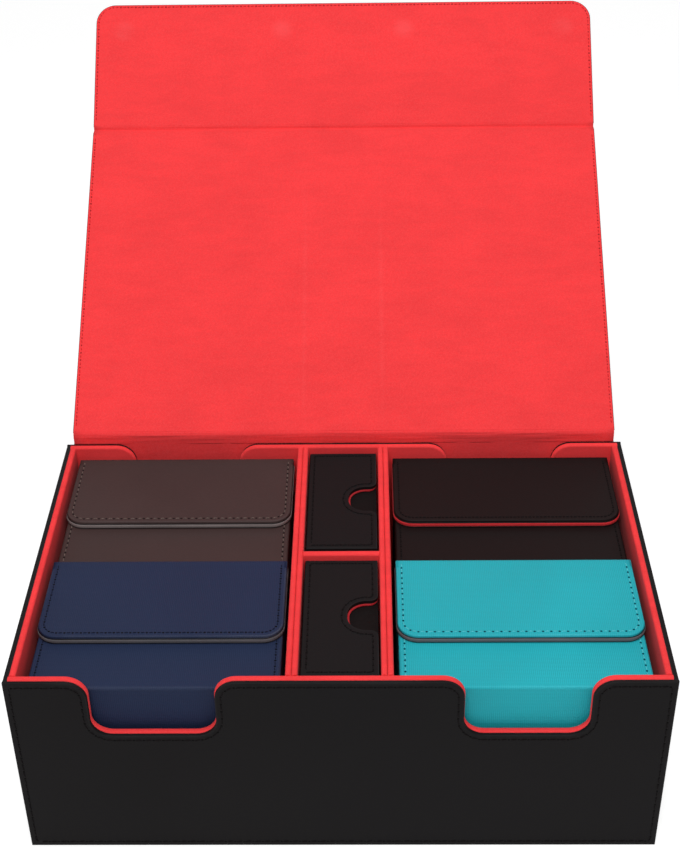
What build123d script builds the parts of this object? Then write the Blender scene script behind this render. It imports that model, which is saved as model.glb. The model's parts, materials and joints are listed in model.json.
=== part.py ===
from build123d import *
import math
import os

# A hinged storage box for trading cards. It holds four deck boxes that lie on their backs, and two
# small upright cases between them, each a cover with a drawer in it.
# Millimetres. The origin is the middle of the tray's underside, +Z is up, and the lid's hinge is at +Y.

# Deck boxes, outside sizes as they lie in the tray
deck_width = 100.4  # X
deck_length = 74.6  # Y
deck_height = 81.6  # Z, without the flap
deck_wall = 2.4
deck_lining = 0.6
deck_mouth = 20.2  # opening under the flap, along Y
deck_round = 1.0  # outer edges

# Deck box flaps
deck_flap_length = 48.6
deck_flap_overhang = 0.25  # past the box, each side
deck_flap_skin = 1.3  # upper layer, skin on board
deck_flap_pad = 2.1  # lower layer, the lining whose edge shows
deck_flap_lip = 0.5  # the lining stands this far out of the upper layer
deck_flap_corner = 8.4
deck_flap_round = 0.6
deck_pad_round = 0.8
deck_flap_gap = 0.15  # between the flap and the box under it
deck_pad_start = 2.2  # the lining begins this far in front of the flap's axis
deck_magnet_radius = 4.0
deck_magnet_thick = 1.0
deck_magnet_x = 30.0
deck_magnet_inset = 8.0  # from the flap's front edge
deck_strike_radius = 4.5
deck_strike_thick = 0.8

# Room around the deck boxes
deck_side_gap = 2.4
deck_front_gap = 1.6
deck_pair_gap = 1.0
deck_rear_gap = 1.8
rim_above_deck = 8.6

# Tray
cover_wall = 1.5  # wrapped board of the outer front and rear walls
side_cover_wall = 2.0  # and of the outer side walls, which are padded
cover_drop = 0.6  # the outer walls' edges lie this far outside the inner walls' edges
inner_wall = 2.7  # padded board of the inner walls
spine_board = 1.5  # the lid's spine, behind the rear wall
spine_lining = 0.4
base_board = 1.6
floor_pad = 2.2
divider_board = 2.4  # a divider is two of these back to back
divider_seam = 0.1
cross_board = 3.0
channel_width = 32.6  # between the dividers
rim_round = 1.0  # edges of the padded boards
cover_round = 0.5  # edges of the outer walls

# Finger notches in the front and rear walls
notch_width = 49.4
notch_depth = 28.6
notch_lead = 9.0  # rounding at the rim
notch_corner = 8.2  # rounding at the bottom
notch_reveal = 0.25  # the outer walls' notches are this much wider, each side

# Small cases
case_side_gap = 0.8
case_wall_gap = 1.4  # front case to the front wall
case_board_gap = 1.0  # front case to the cross divider
case_rear_room = 4.0  # cross divider to the rear case
case_rear_gap = 2.2  # rear case to the rear wall
case_below_rim = 2.2
case_wall = 1.6
case_lining = 0.5
case_round = 0.7
case_notch_width = 18.0
case_notch_depth = 12.7
case_notch_end = 8.0  # rounding at the inner end
case_notch_lead = 3.4  # rounding at the mouth
case_notch_lip = 0.8  # the lining shows this far inside the cover's notch
drawer_wall = 1.4
drawer_gap = 0.3  # each side, in the lining

# Lid and front flap
lid_skin = 0.7
lid_core = 1.8
lid_pad = 0.5
lid_turn_in = 0.9  # the skin's turned edge round the lining
lid_reveal = 3.1  # the lid is this much narrower than the tray, each side
lid_clearance = 0.3  # over the rim when closed
lid_start = 2.0  # from the hinge axis to the lid's rear edge
hinge_back = 0.6  # the hinge axis is this far behind the rear wall
hinge_rise = 2.4  # and this far above the rim
crease_strip = 1.2
crease_reach = 5.4  # the crease hangs this far in front of the front wall when closed
crease_half_gap = 1.8  # from the crease axis to the boards on each side of it
front_flap_length = 68.5
front_flap_corner = 10.0
lid_opening = 145.2  # degrees from closed, as the box stands
flap_folding = 10.5  # degrees towards the lining, as the box stands
flap_closed = 92.5  # degrees, when the flap lies against the front wall
magnet_radius = 6.0
magnet_thick = 1.5
magnet_inset = 14.5  # from the flap's side and end edges
magnet_inner_x = 31.5
strike_size = 16.0
strike_thick = 1.0

# Places that follow from the sizes
end_wall = cover_wall + inner_wall
side_wall = side_cover_wall + inner_wall
divider = 2 * divider_board + divider_seam
bay_width = deck_width + 2 * deck_side_gap
tray_width = channel_width + 2 * divider + 2 * bay_width + 2 * side_wall
inner_depth = deck_front_gap + 2 * deck_length + deck_pair_gap + deck_rear_gap
tray_depth = inner_depth + 2 * end_wall
floor_z = base_board + floor_pad
deck_top = floor_z + deck_height
rim_z = deck_top + rim_above_deck
cover_z = rim_z - cover_drop
half_width = tray_width / 2
half_depth = tray_depth / 2
inner_x = half_width - side_wall
inner_y = half_depth - end_wall
bay_x = channel_width / 2 + divider + bay_width / 2
front_deck_y = deck_front_gap - inner_y
rear_deck_y = front_deck_y + deck_length + deck_pair_gap
case_width = channel_width - 2 * case_side_gap
case_room = case_wall_gap + case_board_gap + case_rear_room + case_rear_gap
case_length = (inner_depth - cross_board - case_room) / 2
case_height = rim_z - case_below_rim - floor_z
front_case_y = case_wall_gap - inner_y
rear_case_y = inner_y - case_rear_gap - case_length
cross_y = front_case_y + case_length + case_board_gap
hinge_y = half_depth + hinge_back
hinge_z = rim_z + hinge_rise
lid_thick = lid_skin + lid_core + lid_pad
lid_width = tray_width - 2 * lid_reveal
lid_face = hinge_rise - lid_clearance  # from the hinge axis to the lining's face
crease_length = hinge_y + half_depth + crease_reach
crease_face = lid_face - lid_thick / 2
lid_lean = lid_opening - 90
magnet_y = front_flap_length - magnet_inset
magnet_x = [side * x for side in (-1, 1) for x in (lid_width / 2 - magnet_inset, magnet_inner_x)]
magnet_places = [(x, magnet_y) for x in magnet_x]
flap_nose = (deck_flap_skin + deck_flap_pad) / 2


def leaning_plane(y, z, lean):
    """A plane whose local Y runs up a panel that leans back by lean degrees, lining side at local +Z."""
    turn = math.radians(lean)
    return Plane(origin=(0, y, z), x_dir=(1, 0, 0), z_dir=(0, -math.cos(turn), math.sin(turn)))


lid_plane = leaning_plane(hinge_y, hinge_z, lid_lean)
crease = lid_plane.from_local_coords((0, crease_length, crease_face))
flap_plane = leaning_plane(crease.Y, crease.Z, lid_lean - flap_folding)


def save(made, name):
    """Label a finished piece and write it."""
    made.part.label = name
    export_step(made.part, f"parts/{name}.step")


def span(low, size):
    """The low and high faces of something that starts at low."""
    return low, low + size


def about(middle, size):
    """The low and high faces of something centred at middle."""
    return middle - size / 2, middle + size / 2


def inset(faces, by):
    """The same two faces, each moved inwards."""
    return faces[0] + by, faces[1] - by


def slab(x, y, z, mode=Mode.ADD):
    """Add or cut a block between its low and high faces in X, Y and Z."""
    with Locations((x[0], y[0], z[0])):
        Box(x[1] - x[0], y[1] - y[0], z[1] - z[0], align=(Align.MIN, Align.MIN, Align.MIN), mode=mode)


def discs(places, radius, thick, mode=Mode.ADD):
    """Add or cut upright discs that stand on the given points."""
    with Locations(*places):
        Cylinder(radius, thick, align=(Align.CENTER, Align.CENTER, Align.MIN), mode=mode)


def notches(plane, places, width, depth, lead, corner):
    """Notches that hang from a rim on the plane's local X axis, one about each place along it."""
    with BuildSketch(plane) as outline:
        for place in places:
            left, right = about(place, width)
            with BuildLine():
                rim = ((left - 2 * lead, 0), (right + 2 * lead, 0))
                corners = ((left, 0), (left, -depth), (right, -depth), (right, 0))
                FilletPolyline(rim[0], *corners, rim[1], radius=[lead, corner, corner, lead])
                Polyline(rim[1], (rim[1][0], lead), (rim[0][0], lead), rim[0])
            make_face()
    return outline.sketch


def round_board(made, direction):
    """Round the two long upper edges of a padded board that stands on edge along the direction."""
    for top in made.faces().filter_by(Axis.Z).group_by(Axis.Z)[-1]:
        fillet(top.edges().filter_by(direction), rim_round)


# ---- Tray ----

def base():
    """The bottom board, between the outer walls."""
    with BuildPart() as made:
        x, y = about(0, tray_width - 2 * side_cover_wall), about(0, tray_depth - 2 * cover_wall)
        slab(x, y, (0, base_board))
    save(made, "base_board")


def floor():
    """The padded floor, between the inner walls."""
    with BuildPart() as made:
        slab((-inner_x, inner_x), (-inner_y, inner_y), span(base_board, floor_pad))
    save(made, "floor_lining")


def end_cover(name, side):
    """The outer front or rear wall, with its finger notches."""
    outer = side * half_depth
    with BuildPart() as made:
        slab((-half_width, half_width), sorted((outer, outer - side * cover_wall)), (0, cover_z))
        rim = Plane(origin=(0, outer, cover_z), x_dir=(-side, 0, 0), z_dir=(0, side, 0))
        cut = notches(
            rim, (-bay_x, bay_x), notch_width + 2 * notch_reveal, notch_depth,
            notch_lead - notch_reveal, notch_corner + notch_reveal,
        )
        extrude(cut, amount=-cover_wall, mode=Mode.SUBTRACT)
        fillet(made.faces().filter_by(Axis.Y).sort_by(Axis.Y)[-1 if side > 0 else 0].edges(), cover_round)
    save(made, name)


def side_cover(name, side):
    """An outer side wall, between the front and rear ones."""
    outer = side * half_width
    with BuildPart() as made:
        x = sorted((outer, outer - side * side_cover_wall))
        slab(x, inset((-half_depth, half_depth), cover_wall), (0, cover_z))
        edges = made.edges().filter_by(Axis.Y).group_by(Axis.X)[-1 if side > 0 else 0]
        fillet(edges, cover_round)
    save(made, name)


def rear_spine():
    """The board glued behind the rear wall, whose skin runs on into the lid."""
    with BuildPart() as made:
        slab(about(0, lid_width), span(half_depth + spine_lining, spine_board), (0, cover_z))
        rear = made.faces().sort_by(Axis.Y)[-1].edges()
        fillet(rear.sort_by(Axis.Z)[:-1], cover_round)
    save(made, "rear_spine")


def rear_lining():
    """The thin lining on the spine, seen through the rear wall's notches."""
    with BuildPart() as made:
        slab(about(0, lid_width - 2 * lid_turn_in), span(half_depth, spine_lining), (base_board, cover_z))
    save(made, "spine_lining")


def strike_box(x):
    """The faces of the steel plate at x that the flap's magnet meets when the flap is closed."""
    z = hinge_z - crease_face - magnet_y * math.cos(math.radians(flap_closed - 90))
    return about(x, strike_size), span(cover_wall - half_depth, strike_thick), about(z, strike_size)


def notched_board(name, y, strikes):
    """A padded inner wall across the tray, with a finger notch for each bay and pockets for the strikes."""
    half = half_width - side_cover_wall
    with BuildPart() as made:
        slab((-half, half), y, (base_board, rim_z))
        rim = Plane(origin=(0, y[0], rim_z), x_dir=(1, 0, 0), z_dir=(0, -1, 0))
        cut = notches(rim, (-bay_x, bay_x), notch_width, notch_depth, notch_lead, notch_corner)
        extrude(cut, amount=y[0] - y[1], mode=Mode.SUBTRACT)
        for end in (0, -1):
            edges = made.faces().filter_by(Axis.Y).sort_by(Axis.Y)[end].edges()
            edges = edges.filter_by(lambda edge: edge.center().Z > floor_z)
            fillet(edges.filter_by(lambda edge: abs(edge.center().X) < inner_x), rim_round)
        for x in strikes:
            slab(*strike_box(x), mode=Mode.SUBTRACT)
    save(made, name)


def strike_plates():
    """Steel plates behind the front wall's skin."""
    with BuildPart() as made:
        for x in magnet_x:
            slab(*strike_box(x))
    save(made, "strike_plates")


def side_board(name, side):
    """A padded inner side wall."""
    x = sorted((side * inner_x, side * (inner_x + inner_wall)))
    with BuildPart() as made:
        slab(x, (-inner_y, inner_y), (base_board, rim_z))
        round_board(made, Axis.Y)
    save(made, name)


def bay_divider(name, side):
    """A wall between a bay and the channel: two padded boards back to back."""
    near = side * channel_width / 2
    far = near + side * divider
    with BuildPart() as made:
        for faces in ((near, near + side * divider_board), (far - side * divider_board, far)):
            slab(sorted(faces), (-inner_y, inner_y), (floor_z, rim_z))
        round_board(made, Axis.Y)
    save(made, name)


def cross_divider():
    """The short board between the two small cases."""
    with BuildPart() as made:
        slab(about(0, channel_width), span(cross_y, cross_board), (floor_z, rim_z))
        round_board(made, Axis.X)
    save(made, "cross_divider")


def build_tray():
    """Every piece of the tray."""
    base()
    floor()
    end_cover("front_cover", -1)
    end_cover("rear_cover", 1)
    rear_spine()
    rear_lining()
    strike_plates()
    notched_board("front_inner_wall", span(-inner_y - inner_wall, inner_wall), magnet_x)
    notched_board("rear_inner_wall", span(inner_y, inner_wall), ())
    for side, word in ((-1, "left"), (1, "right")):
        side_cover(f"{word}_cover", side)
        side_board(f"{word}_inner_wall", side)
        bay_divider(f"{word}_divider", side)
    cross_divider()


# ---- Lid and front flap ----

def outline(plane, y, width, corner, holes=()):
    """A panel's outline on its plane, with its two far corners rounded and round holes at given points."""
    with BuildSketch(plane) as face:
        with Locations((0, (y[0] + y[1]) / 2)):
            Rectangle(width, y[1] - y[0])
        if corner:
            fillet(face.vertices().group_by(Axis.Y)[-1], corner)
        for hole in holes:
            with Locations(hole):
                Circle(magnet_radius, mode=Mode.SUBTRACT)
    return face.sketch


def panel(names, plane, y, face, corner, holes):
    """A cover with turned edges, the board in it and the lining over the board, as three pieces.

    face is the height of the lining's face over the plane. The board has holes for magnets.
    """
    back = plane.offset(face - lid_thick)
    core = plane.offset(face - lid_thick + lid_skin)
    inner = (inset(y, lid_turn_in), lid_width - 2 * lid_turn_in, max(corner - lid_turn_in, 0))
    with BuildPart() as cover:
        extrude(outline(back, y, lid_width, corner), amount=lid_thick)
        fillet(cover.faces().sort_by(Axis(plane.origin, plane.z_dir))[0].edges(), cover_round)
        extrude(outline(core, *inner), amount=lid_core + lid_pad, mode=Mode.SUBTRACT)
    save(cover, names[0])
    with BuildPart() as board:
        extrude(outline(core, *inner, holes), amount=lid_core)
    save(board, names[1])
    with BuildPart() as lining:
        extrude(outline(plane.offset(face - lid_pad), *inner), amount=lid_pad)
    save(lining, names[2])


def flap_magnets():
    """The magnets in the front flap's board."""
    with BuildPart() as made:
        with BuildSketch(flap_plane.offset(lid_skin - lid_thick / 2)):
            with Locations(*magnet_places):
                Circle(magnet_radius)
        extrude(amount=magnet_thick)
    save(made, "front_flap_magnets")


def strip(name, points):
    """A flexible strip across the lid, from its section in the Y-Z plane."""
    with BuildPart() as made:
        with BuildSketch(Plane.YZ):
            with BuildLine():
                Polyline(*[(point.Y, point.Z) for point in points], close=True)
            make_face()
        extrude(amount=lid_width / 2, both=True)
    save(made, name)


def lid_hinge():
    """The strip from the spine's top to the lid's rear edge."""
    strip("lid_hinge_strip", [
        Vector(0, half_depth + spine_lining, cover_z),
        Vector(0, half_depth + spine_lining + spine_board, cover_z),
        lid_plane.from_local_coords((0, lid_start, lid_face - lid_thick)),
        lid_plane.from_local_coords((0, lid_start, lid_face)),
    ])


def flap_crease():
    """The strip between the lid's front edge and the flap."""
    half = crease_strip / 2
    middle = leaning_plane(crease.Y, crease.Z, lid_lean - flap_folding / 2)
    lid_side = lid_plane.offset(crease_face)
    strip("flap_crease_strip", [
        lid_side.from_local_coords((0, crease_length - crease_half_gap, -half)),
        middle.from_local_coords((0, 0, -half)),
        flap_plane.from_local_coords((0, crease_half_gap, -half)),
        flap_plane.from_local_coords((0, crease_half_gap, half)),
        middle.from_local_coords((0, 0, half)),
        lid_side.from_local_coords((0, crease_length - crease_half_gap, half)),
    ])


def build_lid():
    """Every piece of the lid and its front flap."""
    lid_y = (lid_start, crease_length - crease_half_gap)
    panel(("lid_cover", "lid_board", "lid_lining"), lid_plane, lid_y, lid_face, 0, ())
    flap_y = (crease_half_gap, front_flap_length)
    flap_names = ("front_flap_cover", "front_flap_board", "front_flap_lining")
    panel(flap_names, flap_plane, flap_y, lid_thick / 2, front_flap_corner, magnet_places)
    flap_magnets()
    lid_hinge()
    flap_crease()


# ---- Deck boxes ----

def strike_places(x, y):
    """Under a flap's magnets, on the inside of the box's top wall."""
    place_y = y[1] - deck_flap_length + deck_magnet_inset
    middle = (x[0] + x[1]) / 2
    return [(middle + side * deck_magnet_x, place_y, deck_top - deck_wall) for side in (-1, 1)]


def deck_shell(name, x, y, z):
    """Five walls round the cards. The rear end is open, and so is the top beside it."""
    cavity_x, cavity_z = inset(x, deck_wall), inset(z, deck_wall)
    with BuildPart() as made:
        slab(x, y, z)
        fillet(made.edges() - made.faces().sort_by(Axis.Y)[-1].edges(), deck_round)
        slab(cavity_x, (y[0] + deck_wall, y[1]), cavity_z, mode=Mode.SUBTRACT)
        slab(cavity_x, (y[1] - deck_mouth, y[1]), (cavity_z[1], z[1]), mode=Mode.SUBTRACT)
        places = strike_places(x, (y[0], y[1] + deck_wall))
        discs(places, deck_strike_radius, deck_strike_thick, Mode.SUBTRACT)
    save(made, f"{name}_shell")


def deck_liner(name, x, y, z):
    """The thin lining of the shell, open where the shell is."""
    outer_x, outer_z = inset(x, deck_wall), inset(z, deck_wall)
    with BuildPart() as made:
        slab(outer_x, (y[0] + deck_wall, y[1]), outer_z)
        open_y = (y[0] + deck_wall + deck_lining, y[1])
        slab(inset(outer_x, deck_lining), open_y, inset(outer_z, deck_lining), mode=Mode.SUBTRACT)
        slab(outer_x, (y[1] - deck_mouth, y[1]), (outer_z[1] - deck_lining, outer_z[1]), mode=Mode.SUBTRACT)
    save(made, f"{name}_lining")


def deck_end(name, x, y, z):
    """The board that closes the rear end, hinged to the back and to the flap by the skin."""
    with BuildPart() as made:
        slab(x, y, z)
        fillet(made.edges() - made.faces().sort_by(Axis.Y)[0].edges(), deck_round)
    save(made, f"{name}_top_panel")


def deck_strikes(name, x, y):
    """Steel discs that the flap's magnets meet."""
    with BuildPart() as made:
        discs(strike_places(x, y), deck_strike_radius, deck_strike_thick)
    save(made, f"{name}_strikes")


def deck_flap(name, x, y):
    """The flap: a skinned board with a round hinge nose, its padded lining, and magnets between them."""
    axis_y, axis_z = y[1] - flap_nose, deck_top + deck_flap_gap + flap_nose
    front_y, seam_z = y[1] - deck_flap_length, axis_z + flap_nose - deck_flap_skin
    flap_x = inset(x, -deck_flap_overhang)
    middle = (x[0] + x[1]) / 2
    places = [
        (middle + side * deck_magnet_x, front_y + deck_magnet_inset, seam_z - deck_magnet_thick)
        for side in (-1, 1)
    ]
    with BuildPart() as cover:
        slab(flap_x, (front_y, axis_y), span(seam_z, deck_flap_skin))
        fillet(cover.edges().filter_by(Axis.Z).group_by(Axis.Y)[0], deck_flap_corner)
        top = cover.faces().sort_by(Axis.Z)[-1].edges()
        fillet(top.sort_by(Axis.Y)[:-1], deck_flap_round)
        with BuildSketch(Plane.YZ.offset(flap_x[0])):
            with Locations((axis_y, axis_z)):
                Circle(flap_nose)
        extrude(amount=flap_x[1] - flap_x[0])
    save(cover, f"{name}_flap_cover")
    pad_y = (front_y - deck_flap_lip, axis_y - deck_pad_start)
    with BuildPart() as lining:
        slab(inset(flap_x, -deck_flap_lip), pad_y, span(seam_z - deck_flap_pad, deck_flap_pad))
        fillet(lining.edges().filter_by(Axis.Z).group_by(Axis.Y)[0], deck_flap_corner + deck_flap_lip)
        for level in (-1, 0):
            rim = lining.faces().filter_by(Axis.Z).sort_by(Axis.Z)[level].edges()
            fillet(rim.sort_by(Axis.Y)[:-1], deck_pad_round)
        discs(places, deck_magnet_radius, deck_magnet_thick, Mode.SUBTRACT)
    save(lining, f"{name}_flap_lining")
    with BuildPart() as magnets:
        discs(places, deck_magnet_radius, deck_magnet_thick)
    save(magnets, f"{name}_flap_magnets")


def build_deck_box(name, middle, start):
    """One deck box, about the middle of its bay and with its bottom end at start."""
    x, y, z = about(middle, deck_width), span(start, deck_length), span(floor_z, deck_height)
    body_y = (y[0], y[1] - deck_wall)
    deck_shell(name, x, body_y, z)
    deck_liner(name, x, body_y, z)
    deck_end(name, x, (body_y[1], y[1]), z)
    deck_strikes(name, x, y)
    deck_flap(name, x, y)


# ---- Small cases ----

def thumb_notch(x, y, lip):
    """The thumb notch at a case's open side, made smaller by lip for the lining."""
    rim = Plane(origin=(x, y, 0), x_dir=(0, -1, 0), z_dir=(0, 0, 1))
    return notches(
        rim, (0,), case_notch_width - 2 * lip, case_notch_depth - lip,
        case_notch_lead + lip, case_notch_end - lip,
    )


def case_tray(x, y, z, thick):
    """A block hollowed from its +X side."""
    slab(x, y, z)
    slab((x[0] + thick, x[1]), inset(y, thick), inset(z, thick), mode=Mode.SUBTRACT)


def build_case(name, start):
    """One small case: a cover open to +X, its lining, and the drawer that slides in from there."""
    x, y, z = about(0, case_width), span(start, case_length), span(floor_z, case_height)
    middle = start + case_length / 2
    with BuildPart() as cover:
        slab(x, y, z)
        fillet(cover.edges() - cover.faces().sort_by(Axis.X)[-1].edges(), case_round)
        slab((x[0] + case_wall, x[1]), inset(y, case_wall), inset(z, case_wall), mode=Mode.SUBTRACT)
        extrude(thumb_notch(x[1], middle, 0), amount=rim_z, mode=Mode.SUBTRACT)
    save(cover, f"{name}_cover")
    lining_x, lining_y, lining_z = (x[0] + case_wall, x[1]), inset(y, case_wall), inset(z, case_wall)
    with BuildPart() as lining:
        case_tray(lining_x, lining_y, lining_z, case_lining)
        extrude(thumb_notch(x[1], middle, case_notch_lip), amount=rim_z, mode=Mode.SUBTRACT)
    save(lining, f"{name}_lining")
    shrink = case_lining + drawer_gap
    drawer_x = (lining_x[0] + shrink, x[1])
    drawer_y, drawer_z = inset(lining_y, shrink), inset(lining_z, shrink)
    with BuildPart() as drawer:
        slab(drawer_x, drawer_y, drawer_z)
        hollow_x = (drawer_x[0], drawer_x[1] - drawer_wall)
        slab(hollow_x, inset(drawer_y, drawer_wall), inset(drawer_z, drawer_wall), mode=Mode.SUBTRACT)
    save(drawer, f"{name}_drawer")


os.makedirs("parts", exist_ok=True)
build_tray()
build_lid()
build_deck_box("grey_deck", -bay_x, rear_deck_y)
build_deck_box("navy_deck", -bay_x, front_deck_y)
build_deck_box("black_deck", bay_x, rear_deck_y)
build_deck_box("teal_deck", bay_x, front_deck_y)
build_case("rear_case", rear_case_y)
build_case("front_case", front_case_y)
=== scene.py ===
# Looks for a hinged storage box for trading cards, with four deck boxes and two small cases in it.
import json
import math
import random

import bpy
from mathutils import Euler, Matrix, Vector, noise


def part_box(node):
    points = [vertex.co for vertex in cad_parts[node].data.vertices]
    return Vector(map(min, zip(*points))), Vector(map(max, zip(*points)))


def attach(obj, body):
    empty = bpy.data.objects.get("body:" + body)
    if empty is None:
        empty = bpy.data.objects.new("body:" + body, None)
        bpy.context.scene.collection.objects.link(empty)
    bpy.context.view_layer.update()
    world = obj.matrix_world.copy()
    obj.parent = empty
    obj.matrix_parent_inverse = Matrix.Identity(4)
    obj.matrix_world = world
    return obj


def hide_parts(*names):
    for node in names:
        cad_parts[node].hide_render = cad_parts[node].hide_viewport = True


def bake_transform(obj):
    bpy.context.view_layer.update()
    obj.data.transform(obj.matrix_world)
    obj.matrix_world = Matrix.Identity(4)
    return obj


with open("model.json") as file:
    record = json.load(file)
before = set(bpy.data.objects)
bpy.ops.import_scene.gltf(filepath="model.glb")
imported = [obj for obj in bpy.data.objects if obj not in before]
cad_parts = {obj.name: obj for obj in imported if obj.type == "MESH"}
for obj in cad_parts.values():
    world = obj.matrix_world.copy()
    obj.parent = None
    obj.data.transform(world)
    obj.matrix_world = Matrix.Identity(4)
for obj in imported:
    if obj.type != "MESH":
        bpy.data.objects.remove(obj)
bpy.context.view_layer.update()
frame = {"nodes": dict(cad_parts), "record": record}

MM = 0.001
DECKS = ("grey", "navy", "black", "teal")
CASES = ("rear_case", "front_case")

# Sizes that the frame doesn't say by itself, in metres
LID_START = 2.0 * MM  # from the hinge axis to the lid's rear edge
LID_FACE = 2.1 * MM  # from the hinge axis up to the lining's face
LID_THICK = 3.0 * MM
LID_SKIN = 0.7 * MM
LINING = 0.5 * MM
CLOTH_LIFT = 0.12 * MM  # the cloth's face stands this far over the board's lining
TURN_IN = 0.2 * MM  # from the panel's edge to the cloth's
CREASE_GAP = 1.8 * MM
FLAP_LENGTH = 68.5 * MM
FLAP_CORNER = 10.0 * MM
FLAP_CLOSED = 92.5  # degrees of fold at the crease when the box is closed
MAGNET_INSET = 14.5 * MM
MAGNET_INNER = 31.5 * MM
MAGNET_RADIUS = 6.0 * MM
NOTCH_WIDTH = 49.9 * MM
NOTCH_DEPTH = 28.6 * MM
NOTCH_LEAD = 8.75 * MM
NOTCH_CORNER = 8.45 * MM
DECK_FLAP_CORNER = 8.4 * MM
DECK_FLAP_PAD = 2.1 * MM
DECK_FLAP_NOSE = 1.7 * MM
PAINT_AND_SHADOW_RADIUS = 0.24 * MM  # of a line of edge paint, and of the painted shadow line under a deck flap
CASE_NOTCH_HALF = 9.0 * MM
CASE_NOTCH_DEPTH = 12.7 * MM
CASE_NOTCH_LEAD = 3.4 * MM
CASE_NOTCH_END = 8.0 * MM

# The deck boxes' folds, in mm: how far down the rear end or ahead over the flap, and how deep in it
FOLD_DOWN = ((6.0, 0.25), (4.5, 0.16), (3.0, 0.06), (1.8, 0.0), (0.9, 0.0), (0.3, 0.0))
FOLD_AHEAD = ((1.0, 0.005), (2.0, 0.02), (3.2, 0.06), (4.5, 0.12), (6.0, 0.2))

# The lid's cloth
CLOTH_STEP = 1.6 * MM  # between its points, away from its edges
EDGE_STEPS = (0.0, 0.25, 0.55, 0.9, 1.25, 1.5, 1.7, 1.9, 2.2, 2.8, 4.0, 6.0)  # mm, near its edges
ROLL_DEPTH, ROLL_WIDTH = 0.07 * MM, 0.4 * MM
DIP_DEPTH, DIP_WIDTH = 0.06 * MM, 0.5 * MM  # along its seam
BUMP_LIFT, BUMP_SLOPE = 0.16 * MM, 0.7 * MM  # over a magnet
UNEVEN_SIZE = 0.03  # of its unevenness
LINING_TUCK = 1.2 * MM  # how far a bending lining runs on under the cloth
LINING_SUNK = 0.06 * MM  # and how far under its face
RIPPLE_SIZE = 0.02  # of a bending strip's ripples

# Stitching
SEAM_INSET = 2.4 * MM
CASE_SEAM_INSET = 2.3 * MM
LINING_SEAM = 1.3 * MM
SEAM_TURN = 1.5 * MM  # radius of an outer wall's seam at its corners
COARSE_PITCH = 3.9 * MM
FINE_PITCH = 3.4 * MM
THREAD = 0.24 * MM
HOLE = 0.5 * MM  # radius of a needle hole's dimple
HOLE_RINGS = ((1.0, 0.015), (0.45, 0.05))  # share of its radius, and height in mm
HOLE_MIDDLE = 0.02 * MM
STITCH_SLANT = math.radians(7)
STITCH_TURNS = (-0.05, 0.05)
STITCH_SIZES = (0.92, 1.08)
STITCH_SHARE = 0.66  # of the pitch; the red ones and the deck boxes' are shorter
RED_SHARE = 0.42
DECK_SHARE = 0.46
STITCH_SIDES = 6
ROUND_SIDES = 8  # of needle holes and edge paint
ARC_STEPS = 8
STITCH_PROFILE = ((-0.5, -0.16), (-0.36, 0.05), (0.0, 0.14), (0.36, 0.05), (0.5, -0.16))

# Camera, solved from the tray's corners in the 680 x 850 photograph
CAMERA_AT = (0.01082, -0.50906, 0.50663)
CAMERA_TURN = (55.665, 0.812, 0.624)
CAMERA_LENS = 64.33

# Floor and lights
FLOOR_HALF = 3.0
FLOOR_DROP = 0.05 * MM
FLOOR_FAR = (0.55, 1.6)  # distances between which the floor turns to the room's white
FLOOR_BASE = 0.6
FLOOR_GLOW = 0.64
ROOM_LIGHT = 0.27
LAMPS = (  # name, place, size and power
    ("key", (-0.14, -0.9, 1.3), 0.5, 8.8),
    ("fill", (0.25, -0.6, 1.3), 0.5, 3.2),
    ("top", (0.0, 0.2, 1.6), 0.7, 6.3),
)
LAMP_AIM = (0, 0.05, 0.08)

# Looks
HATCH = 1.1 * MM
# how far in from an edge the worn paling and its painted highlight reach
WEAR_AND_HIGHLIGHT_RADIUS = 1.3 * MM
# painted shade on the side walls grows between these two depths
PAINTED_SHADE_START, PAINTED_SHADE_END = 0.5 * MM, 11 * MM  # below the rim of a side wall
SPECULAR = "Specular IOR Level"


# ---- Colours and materials ----

def srgb(red, green, blue):
    """A display colour, 0 to 255, as linear values."""
    def linear(value):
        share = value / 255
        return share / 12.92 if share <= 0.04045 else ((share + 0.055) / 1.055) ** 2.4
    return (linear(red), linear(green), linear(blue), 1.0)


def shade(colour, factor):
    """The colour made lighter or darker."""
    return tuple(min(channel * factor, 1.0) for channel in colour[:3]) + (1.0,)


def pale(colour, share):
    """The colour with some white in it."""
    return tuple(channel + (1 - channel) * share for channel in colour[:3]) + (1.0,)


def add(tree, kind, inputs, **settings):
    """A shader node with its settings and inputs; an input is a value or another node's socket."""
    node = tree.nodes.new("ShaderNode" + kind)
    for name, value in settings.items():
        setattr(node, name, value)
    for name, value in inputs.items():
        if isinstance(value, bpy.types.NodeSocket):
            tree.links.new(value, node.inputs[name])
        else:
            node.inputs[name].default_value = value
    return node


def blank(name):
    """A new material with a Principled shader: its tree, its shader and its object coordinates."""
    material = bpy.data.materials.new(name)
    material.use_nodes = True
    tree = material.node_tree
    tree.nodes.clear()
    shader = add(tree, "BsdfPrincipled", {})
    add(tree, "OutputMaterial", {"Surface": shader.outputs["BSDF"]})
    place = add(tree, "TexCoord", {}).outputs["Object"]
    return material, tree, shader, place


def mix(tree, factor, first, second):
    """A blend of two colours."""
    node = add(tree, "Mix", {0: factor, 6: first, 7: second}, data_type="RGBA")
    return node.outputs[2]


def sums(tree, operation, first, second):
    """A sum, product or other operation on two numbers."""
    return add(tree, "Math", {0: first, 1: second}, operation=operation).outputs[0]


def spread(tree, value, low, high, to_low=0.0, to_high=1.0):
    """A number moved from one range to another, and kept within it."""
    ends = {"From Min": low, "From Max": high, "To Min": to_low, "To Max": to_high}
    return add(tree, "MapRange", {"Value": value, **ends}).outputs["Result"]


def weighed(tree, first, first_share, second, second_share):
    """Two numbers added, each times its share."""
    one = sums(tree, "MULTIPLY", first, first_share)
    other = sums(tree, "MULTIPLY", second, second_share)
    return sums(tree, "ADD", one, other)


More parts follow.
